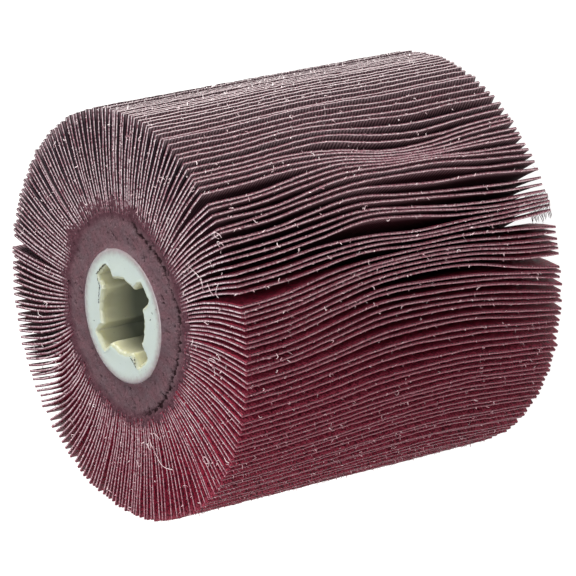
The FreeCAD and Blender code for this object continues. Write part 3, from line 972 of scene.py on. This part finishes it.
def resin_height(radius, angle, seed, pit_count):
    """Height of the resin's face over its level, and how deep in a hollow each point is.

    Slow and quick ripples, a meniscus that falls off as exp(-distance / 0.8 mm) from the
    hub, a film that thins out over the flaps' feet, round pits of the form
    exp(-(d / w)^4), a ragged crevice just inside the feet and one short gash. No point
    rises over 0.85 mm, so the face stays 0.15 mm below the hub's end.
    """
    chance = np.random.default_rng(seed)
    x, y = radius * np.cos(angle), radius * np.sin(angle)
    places = together(x, y) / MM
    level = 0.12 * ripples(seed + 1, places, (4, 11)) + 0.05 * ripples(seed + 2, places, (1.2, 3))
    level += 0.75 * np.exp((HUB_RADIUS - radius) / (0.8 * MM))
    past = np.clip(radius - CORE_RADIUS + 1.1 * MM, 0, None) / MM
    level += 0.15 * smooth_step(0, 1, past) - 0.09 * past * (1 - 0.7 * crown(angle))
    level += 0.17 * smooth_step(0, 1.4, past) * ripples(seed + 3, places, (0.8, 2.2))
    pits = np.zeros_like(radius)
    for _ in range(pit_count):
        reach = chance.uniform(HUB_RADIUS + 1 * MM, CORE_RADIUS + 0.4 * MM)
        turn = chance.uniform(0, FULL_TURN)
        width = chance.uniform(0.16, 0.42) ** 1.4 * 1.6
        away = np.hypot(x - reach * math.cos(turn), y - reach * math.sin(turn)) / MM
        pits = np.maximum(pits, np.exp(-(away / width) ** 4) * min(1.0, 0.4 + width))
    turned = np.degrees(angle) % 360
    around = together(np.cos(angle), np.sin(angle)) * ROUND_CORE
    wander = np.interp(turned, *zip(*CREVICE))
    wander = wander + 0.2 * ripples(seed + 6, around, (1.0, 2.6))
    width = 0.02 + 0.5 * np.clip(0.9 + 0.7 * ripples(seed + 5, around, (1.0, 3)), 0.4, 1.6)
    there = smooth_step(*CREVICE_STARTS, turned) * (1 - smooth_step(*CREVICE_ENDS, turned))
    crevice = there * np.exp(-((radius / MM - wander) / width) ** 4)
    along, across = places @ GASH_WAY, places @ (GASH_WAY[1], -GASH_WAY[0])
    gash = np.exp(-((along - GASH_ALONG) / GASH_REACH) ** 4
                  - ((across - GASH_ACROSS) / GASH_HALF) ** 4)
    hollow = np.maximum(np.maximum(pits, crevice), gash)
    return (level - 1.1 * hollow).clip(None, 0.85) * MM, hollow


class FLAPWHEEL_OT_resin(bpy.types.Operator):
    """Adds the resin that is cast between the hub and the flaps' feet"""

    bl_idname = "flapwheel.resin"
    bl_label = "Resin"

    def execute(self, context):
        """A ring of points (r, z) goes up the outside, in over the top face, down the hub
        and out under the bottom face, at each of 720 angles. Each face has its own number
        of steps, and three points of wall under its rim."""
        look = context.scene.core_look
        around = 720            # points of a ring
        angle = np.arange(around) * FULL_TURN / around
        circle = np.stack([np.cos(angle), np.sin(angle)], -1) * ROUND_CORE
        reach = CORE_RADIUS + look.creep + 0.6 * MM * ripples(3, circle, (2.5, 14))
        reach = reach + 0.4 * MM * ripples(4, circle, (0.9, 2.0))
        reach = reach + crown(angle) * (2.3 + 0.8 * ripples(5, circle, (5, 16))) * MM
        inner = HUB_RADIUS - 0.2 * MM
        rings, hollows = [], []
        for level, sign, steps, seed in ((CORE_HIGH.z, 1, 38, 11), (CORE_LOW.z, -1, 16, 23)):
            share = np.linspace(1, 0, steps)[:, None]
            radius = inner + (reach - inner) * share
            rise, hollow = resin_height(radius, angle[None], seed, look.pits)
            face = from_polar(radius, angle, level + sign * rise)
            wall_levels = level - sign * np.array([[9.0], [2.6], [1.7]]) * MM
            wall = from_polar(np.array([[CORE_RADIUS], [CORE_RADIUS], [CORE_RADIUS + 0.5 * MM]])
                              - 0.2 * MM, angle, wall_levels)
            part = np.concatenate([wall, face])
            flat = np.concatenate([np.zeros((3, around)), hollow])
            rings.append(part if sign > 0 else part[::-1])
            hollows.append(flat if sign > 0 else flat[::-1])
        points = np.concatenate(rings)
        faces = grid_faces(len(points), around, closed_rows=True, closed_columns=True)
        mesh = build_mesh("resin", points.reshape(-1, 3), [(faces, 0)], [cast_epoxy(look)],
                          numbers={"hollow": np.concatenate(hollows)})
        add_piece(mesh, "resin", "resin_core")
        return {"FINISHED"}


def evened(ring, times):
    """A closed ring of values, each made a quarter, a half and a quarter of the one before
    it, itself and the one after it, as many times as given."""
    for _ in range(times):
        ring = (np.roll(ring, 1, 0) + 2 * ring + np.roll(ring, -1, 0)) / 4
    return ring


def bore_outline(bore, half_slot, floor, count):
    """Closed outline of the bore and its four slots, evenly spaced, with soft corners.

    A quarter is the bore's arc, a slot's side at half its width, its flat floor, and the
    same back. The outline is read again at even steps of its length and evened twice.
    """
    edge = math.asin(half_slot / bore)
    lead = np.linspace(-math.pi / 4, -edge, 30)
    corners = np.array([[floor, -half_slot], [floor, half_slot]])
    arc = np.stack([bore * np.cos(lead), bore * np.sin(lead)], -1)
    quarter = np.concatenate([arc, corners, arc[::-1] * (1, -1)])
    parts = []
    for turn in range(4):
        c, s = math.cos(turn * math.pi / 2), math.sin(turn * math.pi / 2)
        parts.append(quarter @ np.array([[c, s], [-s, c]]))
    line = np.concatenate(parts + [parts[0][:1]])
    walked = walked_along(line)
    return evened(read_along(line, walked, np.arange(count) / count * walked[-1]), 2)


class FLAPWHEEL_OT_hub(bpy.types.Operator):
    """Adds the keyed nylon hub"""

    bl_idname = "flapwheel.hub"
    bl_label = "Hub"

    def execute(self, context):
        """Rings of points run up the outside, over the upper end, down the bore and under
        the lower end. On an end a point lies on the straight line from the rim to the
        bore's outline, and the rims and mouths follow quarter circles. A mouth is offset
        along the outline's normals, evened out over its corners, with a burr on it. The
        depth of a point is its way down the bore along the surface."""
        look = context.scene.core_look
        bore = look.bore / 2
        count = 280             # points of a ring
        outline = bore_outline(bore, look.slot_width / 2, bore + look.slot_depth, count)
        step = np.roll(outline, -1, 0) - np.roll(outline, 1, 0)
        away = np.stack([step[:, 1], -step[:, 0]], -1)
        away = evened(away / np.linalg.norm(away, axis=1, keepdims=True), 12)
        burr = ripples(41, outline / MM, (0.9, 3.5))[:, None].clip(-1.6, 1.6) * 0.13 * MM
        angle = np.arctan2(outline[:, 1], outline[:, 0])
        circle = np.stack([np.cos(angle), np.sin(angle)], -1)
        quarter = np.linspace(0, math.pi / 2, 6)
        low, high, rim, mouth = HUB_LOW.z, HUB_HIGH.z, look.rim, look.mouth
        sink = 0.12 * MM        # the upper end dips by this half way to the bore
        rings, depths = [], []

        def ring(flat, height, depth=0.0):
            rings.append(np.concatenate([flat, np.full((count, 1), height)], 1))
            depths.append(np.full(count, depth))

        for turn in quarter[::-1]:
            ring(circle * (HUB_RADIUS - rim * (1 - math.cos(turn))),
                 low + rim * (1 - math.sin(turn)))
        for height in np.linspace(low, high, 9)[1:-1]:
            ring(circle * HUB_RADIUS, height)
        for turn in quarter:
            ring(circle * (HUB_RADIUS - rim * (1 - math.cos(turn))),
                 high - rim * (1 - math.sin(turn)))
        opened = outline + away * (mouth + burr)
        for share in np.linspace(0, 1, 8)[1:-1]:
            ring(circle * (HUB_RADIUS - rim) * (1 - share) + opened * share,
                 high - sink * math.sin(math.pi * share))
        for turn in quarter:
            ring(outline + away * (mouth * (1 - math.sin(turn)) + burr),
                 high - mouth * (1 - math.cos(turn)), mouth * turn)
        for height in np.linspace(high - 2 * mouth, low + 2 * mouth, 26):
            ring(outline, height, 0.6 * mouth + min(high - height, height - low))
        for turn in quarter[::-1]:
            ring(outline + away * (mouth * (1 - math.sin(turn)) + burr),
                 low + mouth * (1 - math.cos(turn)), mouth * turn)
        for share in np.linspace(1, 0, 8)[1:-1]:
            ring(circle * (HUB_RADIUS - rim) * (1 - share) + opened * share, low)
        points = np.array(rings)
        faces = grid_faces(len(points), count, closed_rows=True, closed_columns=True)
        mesh = build_mesh("keyed_hub", points.reshape(-1, 3), [(faces, 0)],
                          [moulded_nylon(look)], numbers={"depth": np.concatenate(depths)})
        add_piece(mesh, "nylon", "hub")
        return {"FINISHED"}


# Strokes of dirt on the hub's upper end, as (x, y) in millimetres: two round the mouth of
# one slot and the bore's edge beside it, two smears by the opposite slot, and specks.
DIRT_STROKES = [
    [(-2.9, -13.7), (-0.3, -13.9), (3.3, -13.8)],
    [(3.5, -12.4), (3.9, -10.6), (5.4, -9.5), (6.4, -8.4), (7.5, -7.5)],
    [(3.9, 9.6), (3.6, 11.2), (3.4, 13.0)],
    [(2.4, 10.7), (3.0, 12.2)],
    [(12.5, -5.2), (12.6, -5.1)],
    [(-13.0, 5.7), (-12.9, 5.9)],
    [(-11.0, 6.6), (-10.9, 6.7)],
    [(-15.2, 5.9), (-15.1, 6.0)],
]


class FLAPWHEEL_OT_dirt(bpy.types.Operator):
    """Adds the dirt on the hub's upper end"""

    bl_idname = "flapwheel.dirt"
    bl_label = "Dirt"

    def execute(self, context):
        """Crumbs lie every 0.15 mm along each stroke, up to 0.14 mm off it. A crumb is a
        short tube of 3 points, 0.1 to 0.4 mm long, and half sunk in the nylon."""
        chance = np.random.default_rng(55)
        centres = []
        for stroke in DIRT_STROKES:
            line = np.array(stroke)
            walked = walked_along(line)
            centres.append(read_along(line, walked, np.arange(0, walked[-1] + 0.01, 0.15)))
        flat = np.concatenate(centres)
        flat = flat[chance.random(len(flat)) < 0.75]
        flat += chance.normal(size=flat.shape).clip(-1.5, 1.5) * 0.09
        count = len(flat)
        level = HUB_HIGH.z / MM - 0.02
        base = np.concatenate([flat, np.full((count, 1), level)], 1) * MM
        course = chance.uniform(0, FULL_TURN, count)
        ahead = np.stack([np.cos(course), np.sin(course), 0 * course], -1)
        length = chance.uniform(0.1, 0.4, (count, 1, 1)) * MM
        paths = base[:, None] + ahead[:, None] * length * np.array([-0.5, 0.0, 0.5])[:, None]
        girth = chance.uniform(0.05, 0.16, (count, 1)) * np.array([0.6, 1.0, 0.5]) * MM
        points, groups = threads(paths, girth, 5, np.array([0.0, 0.0, 1.0]))
        mesh = build_mesh("dirt", points, [(group, 0) for group in groups], [ground_in_dirt()])
        add_piece(mesh, "nylon")
        return {"FINISHED"}


# Knots of lint that the photograph shows well on the side: angle round the drum in
# degrees, height above the floor, length, heading in degrees from the way round the drum,
# and curl in degrees over the whole thread. Sizes are in millimetres.
SIDE_THREADS = [
    (205, 76, 2.2, 120, 220),
    (208, 61, 2.6, 60, -190),
    (206, 47, 2.2, 200, 230),
    (203, 51, 1.7, 80, -150),
    (182, 66, 1.7, 150, 200),
    (174.5, 56, 1.5, 30, 170),
    (162, 20.5, 1.9, 110, -210),
    (169, 84.5, 2.2, 100, 230),
    (163, 71, 1.8, 150, -180),
    (160, 87, 1.8, 60, 210),
    (157.5, 32.5, 2.0, 20, -190),
    (176.6, 88.5, 1.7, 130, 180),
    (159.5, 60, 1.5, 70, 200),
    (150, 75, 1.7, 140, -200),
    (146, 52, 1.5, 30, 190),
]

# Threads that it shows well on the upper face: angle round the drum in degrees, distance
# from the axis, length, heading in degrees, curl in degrees over the whole thread, and
# height above the flaps' ends. Sizes are in millimetres.
FACE_THREADS = [
    (100, 45.5, 8, 20, 400, 0.5),
    (73, 36.5, 13, 5, 60, 0.5),
    (74, 31, 5, 150, 200, 0.4),
    (136, 38, 5, 100, 260, 0.4),
    (133, 39.5, 4, 10, 220, 0.5),
    (139, 41, 3, 60, 180, 0.4),
    (171, 36, 6, 80, 120, 0.4),
    (205, 43, 4, 40, 240, 0.4),
    (175.5, 51.6, 5, 30, 290, 0.7),
    (173.2, 51.2, 4, 120, -240, 0.6),
    (162.2, 41.4, 4, 80, 60, 0.6),
    (164.3, 38.4, 4, 20, 130, 0.5),
    (160.8, 44.0, 3.5, 90, -40, 0.5),
    (191, 50.5, 3, 60, 300, 0.5),
    (225, 47, 3, 10, 240, 0.5),
]


STEPS = 9               # points along a thread of the small lint
DRAWN_STEPS = 25        # points along one of the threads above


def path_of(heading, step):
    """Flat path round its own middle that adds up steps in its headings' directions."""
    path = np.cumsum(np.stack([np.cos(heading), np.sin(heading)], -1) * step, axis=-2)
    return path - path.mean(-2, keepdims=True)


def thread_paths(count, lengths, curls, chance):
    """Flat curled paths round the origin, as arrays [thread, step, 2].

    The heading turns evenly by the curl and wavers by a slow sine.
    """
    share = np.linspace(0, 1, STEPS)
    start = chance.uniform(0, FULL_TURN, (count, 1))
    waver = chance.uniform(0.2, 0.9, (count, 1)) * np.sin(
        share * chance.uniform(4, 9, (count, 1)) + chance.uniform(0, FULL_TURN, (count, 1)))
    return path_of(start + curls[:, None] * share + waver, (lengths / STEPS)[:, None, None])


def drawn_path(length, heading, curl):
    """One flat path round the origin, from a length in millimetres and degrees.

    Its heading turns evenly by the curl and wavers by 14 degrees.
    """
    share = np.linspace(0, 1, DRAWN_STEPS)
    course = np.radians(heading + curl * share + 14 * np.sin(9 * share))
    return path_of(course, length * MM / DRAWN_STEPS)


class FLAPWHEEL_OT_lint(bpy.types.Operator):
    """Adds loose threads and fluff on the side and on both faces"""

    bl_idname = "flapwheel.lint"
    bl_label = "Lint"

    def execute(self, context):
        """A thread on the side lies at (angle + across / r, z + along, r + lift), and one on
        a face lies flat in it. Lift is 0.1 mm plus a half sine over the thread."""
        look = context.scene.lint_look
        chance = np.random.default_rng(101)
        rise = np.sin(np.linspace(0, math.pi, STEPS))
        sets, points, start = [], [], 0

        def lay(paths, radii, lift):
            nonlocal start
            found, faces = threads(paths, radii, 4, lift)
            points.append(found)
            sets.extend((group + start, 0) for group in faces)
            start += len(found)

        count = look.curls
        lengths = chance.uniform(0.6, 1.5, count) ** 1.6 * MM
        flat = thread_paths(count, lengths, chance.normal(size=count) * 3.2, chance)
        angle = chance.uniform(0, FULL_TURN, (count, 1))
        height = chance.uniform(FLAPS_LOW + 3 * MM, FLAPS_HIGH - 3 * MM, (count, 1))
        above = TIP_RADIUS + (0.06 + chance.uniform(0.05, 0.35, (count, 1)) * rise) * MM
        paths = from_polar(above, angle + flat[..., 0] / TIP_RADIUS, height + flat[..., 1])
        girth = chance.uniform(0.7, 1.5, (count, 1)) * look.thickness * (0.6 + 0.4 * rise)
        lay(paths, girth, from_polar(1.0, angle, 0.35 + 0 * angle))

        for level, sign in ((FLAPS_HIGH, 1), (FLAPS_LOW, -1)):
            count = look.face_curls
            lengths = chance.uniform(0.8, 3.0, count) * MM
            flat = thread_paths(count, lengths, chance.normal(size=count) * 3.0, chance)
            reach = chance.uniform(CORE_RADIUS + 2 * MM, TIP_RADIUS - 1 * MM, (count, 1))
            angle = chance.uniform(0, FULL_TURN, (count, 1))
            base = from_polar(reach, angle, level)
            above = sign * (0.12 + chance.uniform(0.05, 0.3, (count, 1)) * rise) * MM
            paths = base + np.concatenate([flat, above[..., None]], -1)
            girth = chance.uniform(0.7, 1.4, (count, 1)) * look.thickness * (0.6 + 0.4 * rise)
            lay(paths, girth, LEANING)

        rise = np.sin(np.linspace(0, math.pi, DRAWN_STEPS))
        for turn, height, length, heading, curl in SIDE_THREADS:
            flat = drawn_path(length, heading, curl)
            angle = math.radians(turn) + flat[:, 0] / TIP_RADIUS
            path = from_polar(TIP_RADIUS + (0.1 + 0.4 * rise) * MM, angle,
                              height * MM + flat[:, 1])
            lay(path[None], np.full((1, DRAWN_STEPS), 1.05 * look.thickness),
                from_polar(1.0, math.radians(turn), 0.35))
        for turn, reach, length, heading, curl, lift in FACE_THREADS:
            flat = drawn_path(length, turn + heading, curl)
            base = from_polar(reach * MM, math.radians(turn), FLAPS_HIGH)
            above = (0.15 + lift * rise) * MM
            paths = (base + np.concatenate([flat, above[:, None]], -1))[None]
            lay(paths, np.full((1, DRAWN_STEPS), look.thickness), LEANING)

        mesh = build_mesh("lint", np.concatenate(points), sets,
                          [cotton_fibre(context.scene.flap_look)])
        add_piece(mesh, "abrasive_cloth")
        return {"FINISHED"}


# The studio's places and sizes are in metres
FLOOR_HALF = 2.5
MIDDLE = (0.0, 0.0, 0.05)
# Soft lights that point at the drum's middle: name, place, size, part of the key's power
# and colour
LIGHTS = [("key", (-0.5, -1.0, 0.3), (0.8, 0.5), 1.0, (1.0, 0.99, 0.97)),
          ("overhead", (-0.28, 0.12, 0.93), (0.7, 0.7), 0.64, (0.97, 0.98, 1.0))]
# Where the camera stands and how it is turned, in degrees, from fitting it to both rims,
# the hub and the silhouettes in the photograph
CAMERA_PLACE = (-0.79827, 0.29670, 0.62583)
CAMERA_TURNS = (-17.6198, 53.9648, 138.3026)


def add_area_light(name, place, size, power, colour):
    """A soft rectangular light at place that points at the drum's middle."""
    light = bpy.data.lights.new(name, "AREA")
    light.shape = "RECTANGLE"
    light.size, light.size_y = size
    light.energy = power
    light.color = colour
    lamp = bpy.data.objects.new(name, light)
    bpy.context.scene.collection.objects.link(lamp)
    lamp.location = place
    lamp.rotation_euler = (Vector(MIDDLE) - lamp.location).to_track_quat("-Z", "Y").to_euler()


class FLAPWHEEL_OT_studio(bpy.types.Operator):
    """Adds the floor, the lights and the camera"""

    bl_idname = "flapwheel.studio"
    bl_label = "Studio"

    def execute(self, context):
        look = context.scene.studio_look
        side = np.linspace(-FLOOR_HALF, FLOOR_HALF, 11)
        x, y = np.meshgrid(side, side)
        points = together(x, y, -0.05 * MM).reshape(-1, 3)
        floor = bpy.data.objects.new("floor", build_mesh(
            "floor", points, [(grid_faces(11, 11), 0)], [studio_floor(look)]))
        context.scene.collection.objects.link(floor)

        world = bpy.data.worlds.new("soft_sky")
        context.scene.world = world
        world.use_nodes = True
        world.node_tree.nodes.clear()
        sky = add_node(world.node_tree, "ShaderNodeBackground", {
            "Color": "#FFFFFF", "Strength": look.sky})
        add_node(world.node_tree, "ShaderNodeOutputWorld", {"Surface": sky.outputs[0]})
        for name, place, size, part, colour in LIGHTS:
            add_area_light(name, place, size, look.key * part, colour)

        lens = bpy.data.cameras.new("camera")
        lens.lens = look.lens
        lens.sensor_width = 36
        lens.clip_start, lens.clip_end = 0.05, 20
        camera = bpy.data.objects.new("camera", lens)
        camera.location = CAMERA_PLACE
        camera.rotation_euler = [math.radians(turn) for turn in CAMERA_TURNS]
        context.scene.collection.objects.link(camera)
        context.scene.camera = camera
        context.scene.view_settings.view_transform = "Standard"
        context.scene.view_settings.look = "None"
        return {"FINISHED"}


class FLAPWHEEL_PT_sidebar(bpy.types.Panel):
    """Buttons and settings of the flap wheel in the 3D view's sidebar"""

    bl_label = "Flap wheel"
    bl_space_type = "VIEW_3D"
    bl_region_type = "UI"
    bl_category = "Flap wheel"

    def draw(self, context):
        for group, operators in LAYOUT:
            box = self.layout.box()
            settings = getattr(context.scene, group)
            for name in type(settings).__annotations__:
                box.prop(settings, name)
            for operator in operators:
                box.operator(operator.bl_idname)


GROUPS = {"flap_look": FlapLook, "core_look": CoreLook, "lint_look": LintLook,
          "studio_look": StudioLook}
LAYOUT = [("flap_look", [FLAPWHEEL_OT_flaps]),
          ("core_look", [FLAPWHEEL_OT_resin, FLAPWHEEL_OT_hub, FLAPWHEEL_OT_dirt]),
          ("lint_look", [FLAPWHEEL_OT_lint]), ("studio_look", [FLAPWHEEL_OT_studio])]
OPERATORS = [operator for _, operators in LAYOUT for operator in operators]


def register():
    """Registers the settings, the operators and the panel."""
    for name, group in GROUPS.items():
        bpy.utils.register_class(group)
        setattr(bpy.types.Scene, name, PointerProperty(type=group))
    for kind in OPERATORS + [FLAPWHEEL_PT_sidebar]:
        bpy.utils.register_class(kind)


def unregister():
    """Removes them again, last first."""
    for kind in [FLAPWHEEL_PT_sidebar] + OPERATORS[::-1]:
        bpy.utils.unregister_class(kind)
    for name, group in reversed(GROUPS.items()):
        delattr(bpy.types.Scene, name)
        bpy.utils.unregister_class(group)


def main():
    register()
    bpy.ops.flapwheel.flaps()
    bpy.ops.flapwheel.resin()
    bpy.ops.flapwheel.hub()
    bpy.ops.flapwheel.dirt()
    bpy.ops.flapwheel.lint()
    bpy.ops.flapwheel.studio()


if __name__ == "__main__":
    main()
